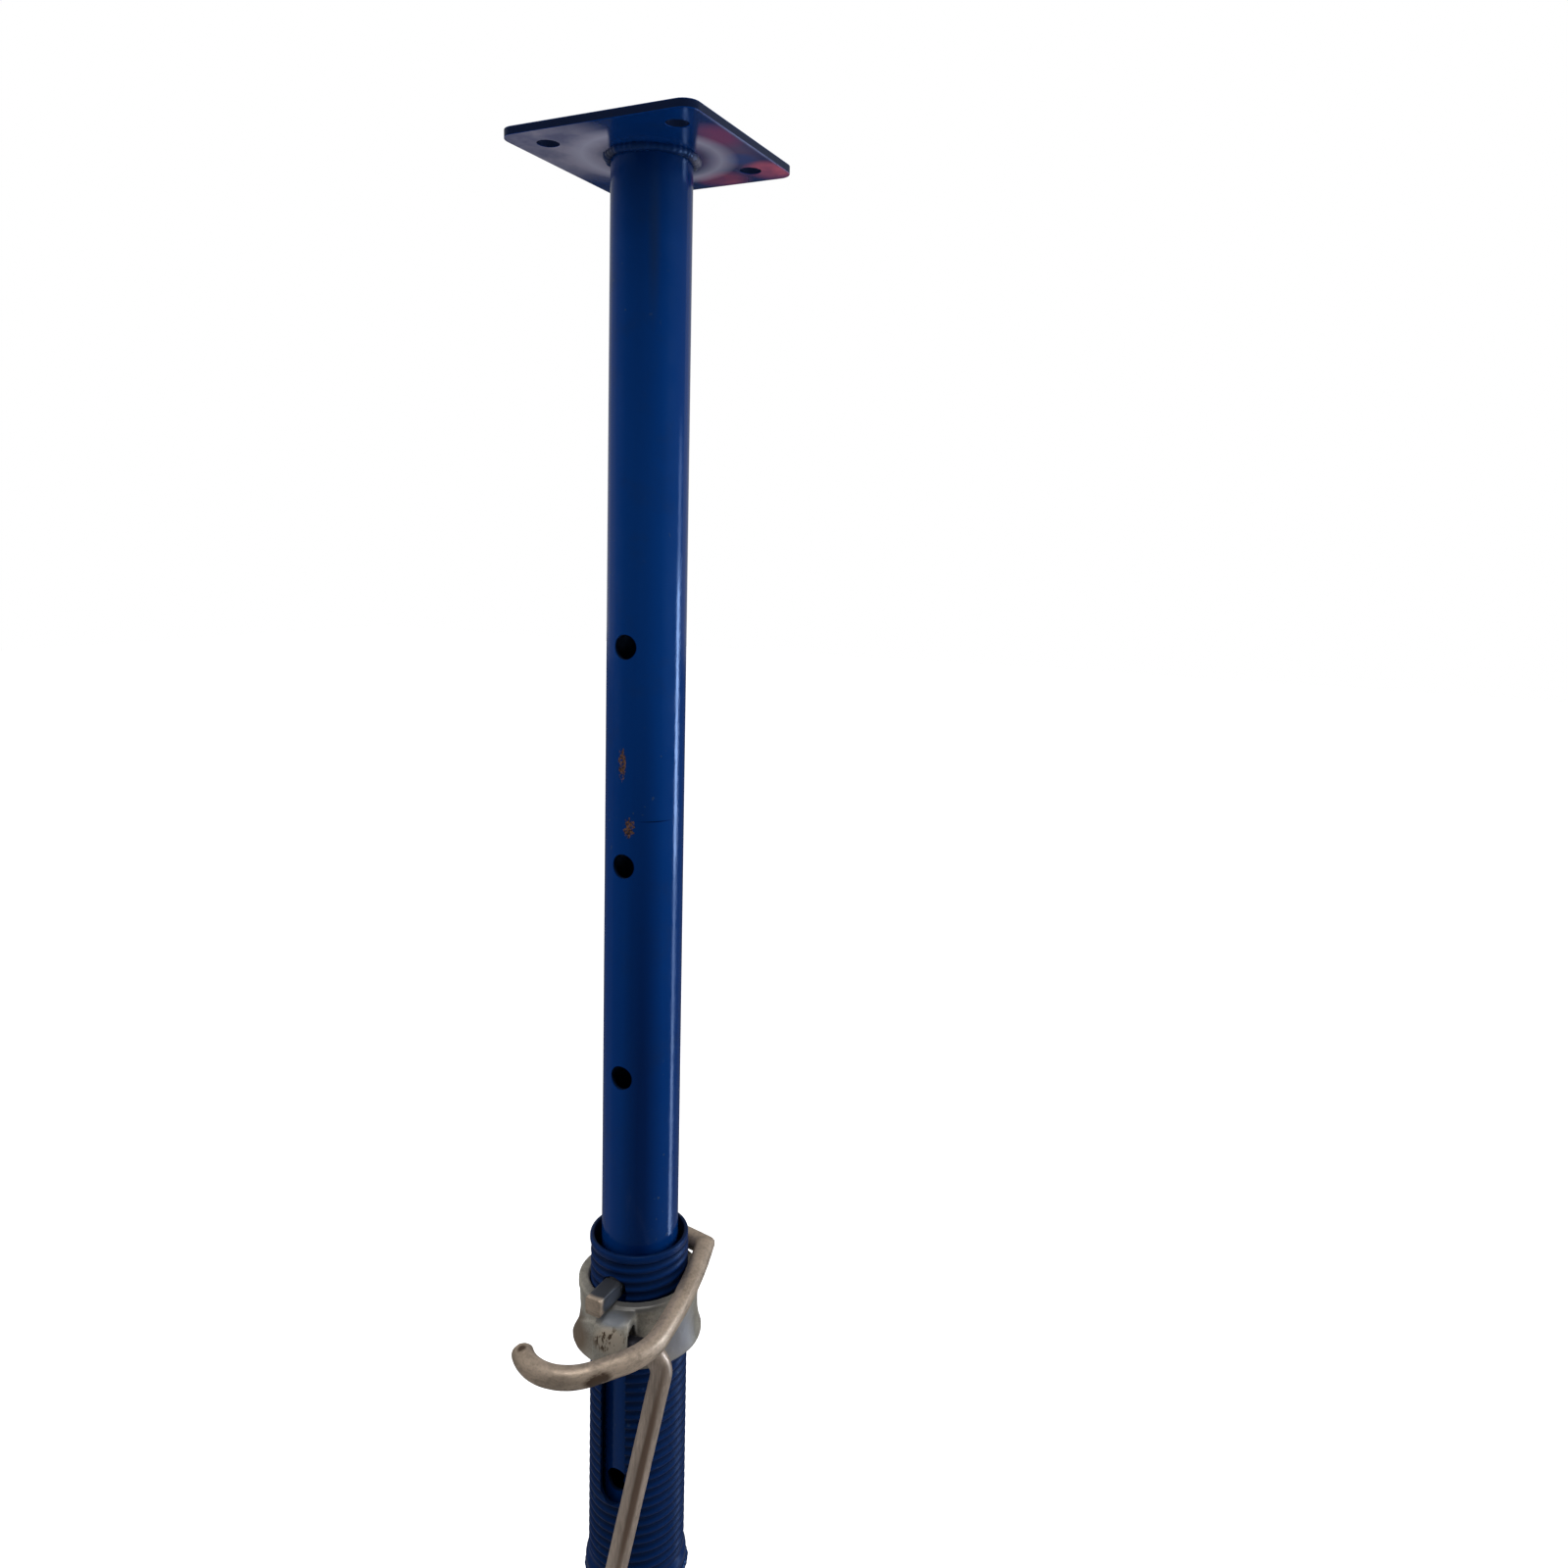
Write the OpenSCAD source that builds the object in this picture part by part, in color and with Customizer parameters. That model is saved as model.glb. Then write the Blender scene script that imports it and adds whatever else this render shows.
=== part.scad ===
// Adjustable steel prop: two telescoping tubes with end plates, a threaded and slotted
// sleeve, a cast nut with a swinging handle, and a G-shaped pin that rests on the nut.
// The base plate's underside is z = 0 and the tubes stand along +Z. The sleeve's slots, the
// pin's leg and the tubes' cross holes all lie along Y, and the pin's loop is on the +X side.

/* [End plates] */
// Side of the square base and head plates
plate_side = 125; // [110:1:160]
// Thickness of the plates
plate_t = 5; // [4:0.5:8]
// Radius of the plates' corners
plate_corner_r = 9; // [3:0.5:14]
// Distance between the bolt holes' centres, both ways
bolt_spacing = 85; // [80:1:88]
// Diameter of the bolt holes
bolt_hole_d = 13; // [9:0.5:16]

/* [Tubes] */
// Outside diameter of the outer tube
outer_tube_od = 60.3; // [59.5:0.1:60.5]
// Wall of the outer tube
outer_tube_wall = 2.9; // [2.3:0.1:4.5]
// Length of the outer tube
outer_tube_len = 849; // [820:1:1400]
// Outside diameter of the inner tube
inner_tube_od = 48.3; // [44:0.1:50]
// Wall of the inner tube
inner_tube_wall = 2.6; // [2:0.1:4.5]
// Length of the inner tube
inner_tube_len = 1010; // [975:1:1250]

/* [Pin holes] */
// Diameter of the holes across the inner tube
pin_hole_d = 15; // [13.6:0.1:17]
// Distance from one hole to the next
hole_pitch = 132; // [100:1:134]
// Number of holes
hole_count = 6; // [5:1:6]
// Distance from the head plate to the first hole
first_hole = 285; // [100:1:300]
// Which hole the pin is in, counted from the head plate
pinned_hole = 4; // [3:1:5]

/* [Threaded sleeve] */
// Length of the sleeve
sleeve_len = 226; // [222:1:300]
// Depth of its bell over the end of the outer tube
socket_depth = 15; // [8:1:18]
// Height of the plain bell, from the sleeve's lower end to the thread
bell_h = 21; // [20:0.5:24]
// Wall of the bell
bell_wall = 2.2; // [1.5:0.1:3]
// Outside diameter over the thread's crests
thread_od = 61.8; // [61.2:0.1:63.5]
// Depth of the thread
thread_depth = 1.1; // [0.6:0.1:1.3]
// Rise of the thread in one turn
thread_pitch = 6; // [5:0.5:8]
// Inside diameter of the sleeve
sleeve_id = 56.8; // [52:0.1:57.2]
// Plain length at the sleeve's rim
rim_h = 2.5; // [1:0.5:4]
// Distance from the rim down to the slots
slot_drop = 14.5; // [12:0.5:14.5]
// Length of the slots
slot_len = 151.5; // [150:0.5:155]
// Width of the slots
slot_w = 18; // [14:0.5:20]

/* [Nut] */
// Distance from the sleeve's rim down to the nut's top
nut_drop = 27.5; // [27.5:0.5:60]
// Height of the nut
nut_h = 40; // [39:0.5:44]
// Radius of the flange at the nut's top
nut_flange_r = 38.4; // [38:0.1:41]
// Radius of the nut's waist
nut_waist_r = 37.2; // [35.5:0.1:37.5]
// Radius of the nut near its foot
nut_collar_r = 40.1; // [39:0.1:42]
// How far round the tube the lug stands at rest, from -Y towards +X
lug_angle = 13; // [-30:1:40]
// Width of the lug
lug_w = 22; // [20:0.5:28]
// Height of the lug
lug_h = 30; // [28:0.5:34]
// Distance from the tube's axis to the lug's front
lug_reach = 54; // [53.5:0.5:58]

/* [Handle] */
// Diameter of the handle's bar
handle_bar_d = 13.4; // [10:0.1:13.6]
// How much wider in radius the upset end is that keeps the handle in the lug
upset_rise = 0.6; // [0.4:0.1:0.6]
// Length of the upset end
upset_len = 3.5; // [2:0.5:5]
// Distance from the tube's axis to the handle's hinge
hinge_reach = 44; // [43:0.1:44]
// Distance from the nut's top down to the handle's hinge
hinge_drop = 20.5; // [18:0.5:21]
// Distance that the bar stands out of the lug before it turns down
handle_side = 21.6; // [20:0.1:40]
// Length of the hanging leg
handle_leg = 158; // [100:1:200]
// Radius of the bar's bend, at its middle
handle_bend_r = 12; // [8:0.5:14]
// How far the hanging leg leans back under the nut
handle_lean = 11.6; // [0:0.1:14]

/* [Pin] */
// Diameter of the pin's bar
pin_d = 12.5; // [10:0.1:13]
// Distance from the tube's axis to the pin's tip
pin_tip_reach = 52; // [44:0.5:56]
// Length of the squared tip
pin_square_len = 22.5; // [10:0.5:24]
// Width of the squared tip across its flats
pin_square_w = 10.8; // [9:0.1:10.8]
// Radius of the bend behind the sleeve, at the bar's middle
rear_bend_r = 8; // [7.5:0.1:9]
// Radius of the corner bend, at the bar's middle
corner_bend_r = 7; // [6.8:0.1:9]
// Length of the side run past the sleeve
side_run = 88.7; // [70:0.1:110]
// Radius of the side run's slight bow
side_bow_r = 448; // [300:1:900]
// Radius of the bend at the front of the loop
front_bend_r = 42.8; // [30:0.1:50]
// Length of the straight between the front bend and the curl
front_run = 16.4; // [5:0.1:30]
// Radius of the hook's curl
curl_r = 29.4; // [22:0.1:34]
// Angle of the hook's curl
curl_angle = 110; // [80:1:130]

/* [Welds] */
// Leg of the weld round each tube's end at its plate
plate_weld = 5.5; // [3:0.5:8]
// Height of the weld under the sleeve's bell
bell_weld_h = 5; // [3:0.5:7]

/* [Clearances] */
// Gap between a piece that rests on another and its seat
seat_gap = 0.25; // [0.05:0.05:0.3]
// Gap all round between the nut's bore and the thread's crests
thread_gap = 0.3; // [0.1:0.05:0.4]
// Gap all round between the handle's bar and its bore
hinge_gap = 0.08; // [0.02:0.01:0.1]
// Gap all round between the outer tube and the sleeve's bell
socket_gap = 0.2; // [0:0.05:0.3]
// Gap between the pin's loop and the sleeve
loop_gap = 0.8; // [0.4:0.1:3]

/* [Hidden] */
$fn = 48;
eps = 0.01;

// Heights, from the floor up
bell_z = plate_t + outer_tube_len - socket_depth;
rim_z = bell_z + sleeve_len;
thread_end_z = bell_z + bell_h;
slot_top_z = rim_z - slot_drop;
slot_foot_z = slot_top_z - slot_len;
nut_top_z = rim_z - nut_drop;
pin_r = pin_d / 2;
pin_z = nut_top_z + seat_gap + pin_r;
pinned_hole_z = pin_z + pin_r + seat_gap - pin_hole_d / 2;
head_z = pinned_hole_z + first_hole + (pinned_hole - 1) * hole_pitch;
inner_foot_z = head_z - inner_tube_len;

// Radii
crest_r = thread_od / 2;
root_r = crest_r - thread_depth;
bell_bore_r = outer_tube_od / 2 + socket_gap;
bell_r = bell_bore_r + bell_wall;
nut_bore_r = crest_r + thread_gap;
handle_r = handle_bar_d / 2;
hinge_bore_r = handle_r + hinge_gap;
upset_r = handle_r + upset_rise;
upset_depth = upset_len + 2.5;

// Heights and edges of the nut's casting
nut_edge = 1.2;
nut_core_r = nut_bore_r - 4;
flange_t = 4.9;
waist_at = 0.45;
foot_round_w = 3.5;
foot_round_h = 2.3;
lug_top = 1.5;
brow_r = 12.5;

// The casting's shoulder beside the lug: how far it stands out and runs round, where on the
// nut's side it starts, and the arch of its upper edge as seen from the lug's front
shoulder_rise = 2;
shoulder_span = 82;
shoulder_from = 0.25;
shoulder_arch_r = 34.8;
shoulder_top = 13.7;
shoulder_arch = [-6.7, -shoulder_top - shoulder_arch_r];

// The lug's arched mouth, seen along the hinge: its height, how far it reaches from the hinge
// towards the tube, and the corners of its arch as [from the hinge, radius]
mouth_h = 12.3;
mouth_back = 9.4;
mouth_front_r = 4;
mouth_top = [2.5, 3];

// The pin's bends, seen from above: behind the sleeve, then the corner, then a side run that
// clears the sleeve by loop_gap, then the front bend and the curl
rear_turn = 100.6;
corner_turn = 60.5;
front_turn = 42.3;
rear_tilt = rear_turn - 90;
side_tilt = rear_tilt + corner_turn;
side_bow = side_run / side_bow_r * 180 / PI;
loop_reach = crest_r + pin_r + loop_gap;
leg_end_y = crest_r + loop_gap / 2 + pin_r - rear_bend_r;
after_rear = [rear_bend_r * (1 - cos(rear_turn)), leg_end_y + rear_bend_r * sin(rear_turn)];
corner_step = corner_bend_r * [sin(side_tilt) - sin(rear_tilt), cos(side_tilt) - cos(rear_tilt)];
corner_foot = after_rear + corner_step;
rear_run = (loop_reach - corner_foot * [sin(side_tilt), cos(side_tilt)]) / sin(corner_turn);

// Colours
prop_blue = [0.02, 0.11, 0.38];
weld_blue = [0.05, 0.13, 0.33];
zinc_cast = [0.62, 0.61, 0.56];
zinc_bar = [0.6, 0.57, 0.52];

// A square plate with round corners and four bolt holes, standing on z = 0
module end_plate() {
    straight = plate_side - 2 * plate_corner_r;
    difference() {
        union() {
            translate([-plate_side / 2, -straight / 2, 0]) cube([plate_side, straight, plate_t]);
            translate([-straight / 2, -plate_side / 2, 0]) cube([straight, plate_side, plate_t]);
            for (x = [-1, 1], y = [-1, 1])
                translate([x * straight / 2, y * straight / 2, 0])
                    cylinder(r = plate_corner_r, h = plate_t);
        }
        for (x = [-1, 1], y = [-1, 1])
            translate([x * bolt_spacing / 2, y * bolt_spacing / 2, -1])
                cylinder(d = bolt_hole_d, h = plate_t + 2);
    }
}

// A hollow fillet weld round a tube that stands on a plate at z = 0
module fillet_weld(tube_r) {
    rotate_extrude()
        polygon(concat(
            [[tube_r, 0], [tube_r + plate_weld, 0]],
            [for (i = [1:4]) let (a = i * 18)
                [tube_r + plate_weld * (1 - sin(a) * 0.86), plate_weld * (1 - cos(a) * 0.86)]],
            [[tube_r, plate_weld]]));
}

module base_plate() {
    color(prop_blue) end_plate();
}

module base_weld() {
    color(weld_blue) translate([0, 0, plate_t]) fillet_weld(outer_tube_od / 2);
}

module outer_tube() {
    color(prop_blue) translate([0, 0, plate_t]) difference() {
        cylinder(d = outer_tube_od, h = outer_tube_len);
        translate([0, 0, -1]) cylinder(d = outer_tube_od - 2 * outer_tube_wall, h = outer_tube_len + 2);
    }
}

// The bead that closes the step between the sleeve's bell and the outer tube
module sleeve_weld() {
    tube_r = outer_tube_od / 2;
    color(weld_blue) translate([0, 0, bell_z]) rotate_extrude()
        polygon([[tube_r, -bell_weld_h], [tube_r + bell_wall * 0.55, -bell_weld_h * 0.8],
                 [bell_r, -bell_weld_h * 0.3], [bell_r, 0], [tube_r, 0]]);
}

// One ridge of the rolled thread: a flank, a crest, a flank and a short root
function ridge_points(foot) =
    let (flank = 0.28 * thread_pitch, crest = 0.24 * thread_pitch)
    [[root_r, foot], [crest_r, foot + flank],
     [crest_r, foot + flank + crest], [root_r, foot + 2 * flank + crest]];

// The turned sleeve, with as many ridges as fit between its bell and its rim
module sleeve_body() {
    thread_top_z = rim_z - rim_h;
    ridges = floor((thread_top_z - thread_end_z) / thread_pitch);
    first_ridge_z = thread_top_z - ridges * thread_pitch;
    bell_top_z = bell_z + socket_depth + 1;
    rim_edge = 0.8;
    sleeve_r = sleeve_id / 2;
    rotate_extrude() polygon(concat(
        [[bell_bore_r, bell_z], [bell_r, bell_z], [bell_r, bell_top_z],
         [root_r, max(thread_end_z, bell_top_z + 1)]],
        [for (i = [0:ridges - 1]) each ridge_points(first_ridge_z + i * thread_pitch)],
        [[crest_r, thread_top_z + 0.5], [crest_r, rim_z - rim_edge], [crest_r - rim_edge, rim_z],
         [sleeve_r, rim_z], [sleeve_r, bell_top_z + 1],
         [bell_bore_r, bell_z + socket_depth + seat_gap]]));
}

// Both slots in one cut: a long opening along Y with round ends
module slot_cut() {
    across = 2 * bell_r + 4;
    end_r = slot_w / 2;
    translate([-end_r, -across / 2, slot_foot_z + end_r]) cube([slot_w, across, slot_len - slot_w]);
    for (z = [slot_foot_z + end_r, slot_top_z - end_r])
        translate([0, across / 2, z]) rotate([90, 0, 0]) cylinder(r = end_r, h = across);
}

module thread_sleeve() {
    color(prop_blue) difference() {
        sleeve_body();
        slot_cut();
    }
}

// The nut's side, from under its flange (u = 0) to its widest place above the foot (u = 1):
// a parabola each side of the waist
function nut_side(u) =
    let (end_r = u < waist_at ? nut_flange_r - 0.6 : nut_collar_r,
         part = u < waist_at ? 1 - u / waist_at : (u - waist_at) / (1 - waist_at))
    [nut_waist_r + (end_r - nut_waist_r) * part * part,
     -(flange_t + 0.6) * (1 - u) - (nut_h - foot_round_h) * u];

// The rounding from the nut's widest place, plus a rise, in to its foot
function nut_foot(rise = 0) =
    [for (a = [18:18:90])
        [nut_collar_r + rise - (foot_round_w + rise) * (1 - cos(a)), -nut_h + foot_round_h * (1 - sin(a))]];

// The nut without its lug: top face, flange, waist and rounded foot
module nut_turned() {
    steps = 12;
    rotate_extrude() polygon(concat(
        [[nut_core_r, 0], [nut_flange_r - nut_edge, 0],
         [nut_flange_r, -nut_edge], [nut_flange_r, -flange_t]],
        [for (i = [0:steps]) nut_side(i / steps)],
        nut_foot(),
        [[nut_core_r, -nut_h]]));
}

// The lug, cast on the nut's -Y side: a block with rounded front edges and a round brow
module lug_block() {
    edge_r = 1.5;
    foot = nut_waist_r - 3;
    brow_y = -lug_reach + brow_r;
    brow_z = -lug_top - brow_r;
    intersection() {
        translate([0, 0, -lug_h - lug_top]) {
            translate([-lug_w / 2, -lug_reach + edge_r, 0])
                cube([lug_w, lug_reach - edge_r - foot, lug_h]);
            translate([-lug_w / 2 + edge_r, -lug_reach, 0])
                cube([lug_w - 2 * edge_r, edge_r + 1, lug_h]);
            for (x = [-1, 1])
                translate([x * (lug_w / 2 - edge_r), -lug_reach + edge_r, 0])
                    cylinder(r = edge_r, h = lug_h);
        }
        union() {
            translate([-lug_w, -lug_reach - 1, -nut_h])
                cube([2 * lug_w, lug_reach, nut_h + brow_z]);
            translate([-lug_w, brow_y, -nut_h]) cube([2 * lug_w, -brow_y, nut_h]);
            translate([-lug_w, brow_y, brow_z]) rotate([0, 90, 0])
                cylinder(r = brow_r, h = 2 * lug_w);
        }
    }
}

// A low shoulder of the casting that runs from the lug round the nut's left side, parallel to
// the nut's own side, under an arched upper edge
module lug_shoulder() {
    steps = 9;
    lift = 0.3;
    across = 2 * lug_reach;
    intersection() {
        translate([0, 0, lift]) rotate([0, 0, -90 - shoulder_span])
            rotate_extrude(angle = shoulder_span) polygon(concat(
                [for (i = [0:steps])
                    nut_side(shoulder_from + (1 - shoulder_from) * i / steps) + [shoulder_rise, 0]],
                nut_foot(shoulder_rise),
                [[nut_core_r, -nut_h], [nut_core_r, nut_side(shoulder_from)[1]]]));
        translate([shoulder_arch[0], across / 2, shoulder_arch[1]]) rotate([90, 0, 0])
            cylinder(r = shoulder_arch_r, h = across);
    }
}

// Points of a corner of the given radius, from one angle to another in steps
function corner_points(centre, r, from, to) =
    let (steps = 6)
    [for (i = [0:steps]) let (a = from + (to - from) * i / steps) centre + r * [cos(a), sin(a)]];

// The lug's openings, all along X: the handle's bore, the pocket for its upset end, and the
// arched mouth over the bore on the side where the handle comes out
module lug_cuts() {
    mouth_depth = lug_w / 2;
    front = [mouth_front_r - hinge_bore_r, mouth_h - mouth_front_r];
    top = [mouth_top[0], mouth_h - mouth_top[1]];
    translate([0, -hinge_reach, -hinge_drop]) {
        rotate([0, 90, 0]) cylinder(r = hinge_bore_r, h = lug_w + 2, center = true);
        translate([-lug_w / 2 - 1, 0, 0]) rotate([0, 90, 0])
            cylinder(r = upset_r + hinge_gap, h = upset_depth + 1);
        translate([lug_w / 2 - mouth_depth, 0, 0]) rotate([90, 0, 90]) linear_extrude(mouth_depth + 1)
            polygon(concat(
                corner_points(top, mouth_top[1], 22, 90),
                corner_points(front, mouth_front_r, 90, 180),
                [[-hinge_bore_r, 0], [0, 0], hinge_bore_r * [0.78, -0.55], [mouth_back, 0]]));
    }
}

module nut_placed() {
    translate([0, 0, nut_top_z]) rotate([0, 0, lug_angle]) children();
}

module prop_nut() {
    edge = nut_edge;
    color(zinc_cast) nut_placed() difference() {
        union() {
            nut_turned();
            lug_block();
            lug_shoulder();
        }
        translate([0, 0, -nut_h - 1]) cylinder(r = nut_bore_r, h = nut_h + 2);
        translate([0, 0, -edge]) cylinder(r1 = nut_bore_r, r2 = nut_bore_r + edge + eps, h = edge + eps);
        translate([0, 0, -nut_h - eps]) cylinder(r1 = nut_bore_r + edge + eps, r2 = nut_bore_r, h = edge + eps);
        lug_cuts();
    }
}

// A dome on the end of a bar, with a short spigot that reaches back into it
module round_end(end_r, spigot) {
    rotate([0, 90, 0]) rotate_extrude()
        polygon(concat([[0, -spigot], [end_r, -spigot]],
                       [for (a = [0:10:80]) end_r * [cos(a), sin(a)]], [[0, end_r]]));
}

// A bar that starts along +X and bends clockwise in the XY plane. Each move is
// [straight length, bend radius, bend angle]. The bar swells a little in its tight bends, and
// each straight or slightly bowed length reaches into the bends beside it.
module bent_bar(bar_r, moves, i = 0) {
    swell = 0.04;
    lap = 0.5;
    bow_ratio = 12;
    if (i < len(moves)) {
        run = moves[i][0];
        bend = moves[i][1];
        turn = moves[i][2];
        is_bow = bend > bow_ratio * bar_r;
        lap_turn = is_bow ? lap / bend * 180 / PI : 0;
        start_lap = i > 0 ? lap : 0;
        end_lap = turn > 0 ? lap : 0;
        if (run > 0) translate([-start_lap, 0, 0]) rotate([0, 90, 0])
            cylinder(r = bar_r, h = run + start_lap + end_lap);
        if (turn > 0) translate([run, -bend, 0]) rotate([0, 0, 90 - turn - lap_turn])
            rotate_extrude(angle = turn + 2 * lap_turn) translate([bend, 0])
                circle(r = is_bow ? bar_r : bar_r + swell);
        translate([run + bend * sin(turn), -bend * (1 - cos(turn)), 0]) rotate([0, 0, -turn]) {
            bent_bar(bar_r, moves, i + 1);
            if (i == len(moves) - 1) round_end(bar_r - swell, lap);
        }
    }
}

// The handle: an upset end in the lug's pocket, the hinge stub, the bend and the hanging leg
module nut_handle() {
    handle_turn = 90 + handle_lean;
    bend_reach = handle_bend_r * tan(handle_turn / 2);
    stub_start = -lug_w / 2 + upset_depth - upset_len;
    corner_x = lug_w / 2 + handle_side;
    color(zinc_bar) nut_placed() translate([0, -hinge_reach, -hinge_drop]) {
        translate([stub_start, 0, 0]) rotate([0, 90, 0]) cylinder(r = upset_r, h = upset_len - seat_gap);
        translate([stub_start, 0, 0]) rotate([90, 0, 0])
            bent_bar(handle_r, [[corner_x - stub_start - bend_reach, handle_bend_r, handle_turn],
                                [handle_leg - bend_reach - handle_r, 0, 0]]);
    }
}

// The pin's tip, forged to a square with chamfered edges and a narrower end
module square_tip() {
    half = pin_square_w / 2;
    chamfer = 1.9;
    flat = half - chamfer;
    end_r = half - 0.8;
    intersection() {
        linear_extrude(pin_square_len) polygon([
            [half, flat], [flat, half], [-flat, half], [-half, flat],
            [-half, -flat], [-flat, -half], [flat, -half], [half, -flat]]);
        cylinder(r1 = end_r, r2 = end_r + pin_square_len, h = pin_square_len + eps);
    }
}

module g_pin() {
    lap = 1;
    leg = pin_tip_reach + leg_end_y - pin_square_len + lap;
    color(zinc_bar) translate([0, 0, pin_z]) {
        translate([0, -pin_tip_reach, 0]) rotate([-90, 0, 0]) square_tip();
        translate([0, -pin_tip_reach + pin_square_len - lap, 0]) rotate([0, 0, 90])
            bent_bar(pin_r, [[leg, rear_bend_r, rear_turn],
                             [rear_run, corner_bend_r, corner_turn],
                             [0, side_bow_r, side_bow],
                             [0, front_bend_r, front_turn],
                             [front_run, curl_r, curl_angle]]);
    }
}

module inner_tube() {
    color(prop_blue) difference() {
        translate([0, 0, inner_foot_z]) difference() {
            cylinder(d = inner_tube_od, h = inner_tube_len);
            translate([0, 0, -1]) cylinder(d = inner_tube_od - 2 * inner_tube_wall, h = inner_tube_len + 2);
        }
        for (i = [0:hole_count - 1])
            translate([0, inner_tube_od, head_z - first_hole - i * hole_pitch]) rotate([90, 0, 0])
                cylinder(d = pin_hole_d, h = 2 * inner_tube_od);
    }
}

module head_weld() {
    color(weld_blue) translate([0, 0, head_z]) mirror([0, 0, 1]) fillet_weld(inner_tube_od / 2);
}

module head_plate() {
    color(prop_blue) translate([0, 0, head_z]) end_plate();
}

base_plate();
base_weld();
outer_tube();
sleeve_weld();
thread_sleeve();
prop_nut();
nut_handle();
g_pin();
inner_tube();
head_weld();
head_plate();
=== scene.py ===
import math
import random
import bpy
import bmesh
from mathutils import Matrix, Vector


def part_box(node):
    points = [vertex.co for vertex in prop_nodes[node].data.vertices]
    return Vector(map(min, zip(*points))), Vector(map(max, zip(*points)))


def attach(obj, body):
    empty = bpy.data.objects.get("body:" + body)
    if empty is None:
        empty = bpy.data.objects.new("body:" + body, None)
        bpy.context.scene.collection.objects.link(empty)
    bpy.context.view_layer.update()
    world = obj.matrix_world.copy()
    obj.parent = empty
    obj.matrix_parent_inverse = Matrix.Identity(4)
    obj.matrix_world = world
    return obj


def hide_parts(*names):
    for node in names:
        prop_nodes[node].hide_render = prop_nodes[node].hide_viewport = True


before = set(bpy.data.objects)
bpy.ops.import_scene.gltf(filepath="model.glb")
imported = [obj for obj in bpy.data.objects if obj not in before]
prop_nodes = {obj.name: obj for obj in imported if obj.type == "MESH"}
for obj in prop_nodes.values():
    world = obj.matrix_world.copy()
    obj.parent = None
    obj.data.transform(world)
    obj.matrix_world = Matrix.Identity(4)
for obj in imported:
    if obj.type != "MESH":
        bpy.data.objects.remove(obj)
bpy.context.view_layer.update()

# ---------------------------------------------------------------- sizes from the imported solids
SLEEVE_LOW, SLEEVE_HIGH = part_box("thread_sleeve")
NUT_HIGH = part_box("prop_nut")[1]
PLATE_LOW, PLATE_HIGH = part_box("head_plate")
FOOT_LOW, FOOT_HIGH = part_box("base_plate")
PIN_LOW, PIN_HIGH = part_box("g_pin")
OUTER_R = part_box("outer_tube")[1].x
INNER_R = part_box("inner_tube")[1].x
PIN_Z = (PIN_LOW.z + PIN_HIGH.z) / 2


# ---------------------------------------------------------------- bench work
def only(piece):
    """Makes the piece the only one that is selected and worked on."""
    if bpy.context.mode != "OBJECT":
        bpy.ops.object.mode_set(mode="OBJECT")
    bpy.ops.object.select_all(action="DESELECT")
    piece.select_set(True)
    bpy.context.view_layer.objects.active = piece


def start(kind, **place):
    """Adds one primitive, with nothing else selected."""
    if bpy.context.mode != "OBJECT":
        bpy.ops.object.mode_set(mode="OBJECT")
    bpy.ops.object.select_all(action="DESELECT")
    getattr(bpy.ops.mesh, "primitive_" + kind + "_add")(**place)
    return bpy.context.active_object


def fix_place(piece):
    """Puts the piece's place, turn and scale into its mesh."""
    only(piece)
    bpy.ops.object.transform_apply(location=True, rotation=True, scale=True)


def use(piece, kind, **settings):
    """Adds a modifier with these settings and applies it."""
    only(piece)
    modifier = piece.modifiers.new(kind.lower(), kind)
    for key, value in settings.items():
        setattr(modifier, key, value)
    bpy.ops.object.modifier_apply(modifier=modifier.name)


def work_on(piece, mode="VERT"):
    """Opens the piece for shaping, with nothing on it selected."""
    only(piece)
    bpy.ops.object.mode_set(mode="EDIT")
    bpy.ops.mesh.select_mode(type=mode)
    bpy.ops.mesh.select_all(action="DESELECT")


def pick(piece, test):
    """Selects the faces, edges or corners whose middle passes the test, in the open piece."""
    mesh = bmesh.from_edit_mesh(piece.data)
    if "FACE" in mesh.select_mode:
        for face in mesh.faces:
            face.select_set(test(face.calc_center_median(), face.normal))
    elif "EDGE" in mesh.select_mode:
        for edge in mesh.edges:
            middle = (edge.verts[0].co + edge.verts[1].co) / 2
            edge.select_set(test(middle, (edge.verts[1].co - edge.verts[0].co).normalized()))
    else:
        for vert in mesh.verts:
            vert.select_set(test(vert.co, vert.normal))
    mesh.select_flush_mode()
    bmesh.update_edit_mesh(piece.data)


def close_up(piece, gap=1e-6):
    """Joins corners that lie in one place and turns all faces outwards."""
    only(piece)
    bpy.ops.object.mode_set(mode="EDIT")
    bpy.ops.mesh.select_all(action="SELECT")
    bpy.ops.mesh.remove_doubles(threshold=gap)
    bpy.ops.mesh.normals_make_consistent(inside=False)
    bpy.ops.object.mode_set(mode="OBJECT")


def smooth(piece, angle):
    """Shades the piece smoothly, except over edges sharper than this many degrees."""
    only(piece)
    bpy.ops.object.shade_smooth_by_angle(angle=math.radians(angle))


def fit(piece, name, body, finish, stands_for=()):
    """Names a finished piece, gives it its finish and fixes it to its body."""
    fix_place(piece)
    piece.name = name
    piece.data.name = name
    piece.data.materials.clear()
    piece.data.materials.append(finish)
    if stands_for:
        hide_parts(*stands_for)
    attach(piece, body)
    return piece


# ---------------------------------------------------------------- camera
EYE = (0.38263, -0.60480, 1.49767)
EYE_TURN = (84.445, -1.300, 25.736)

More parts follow.
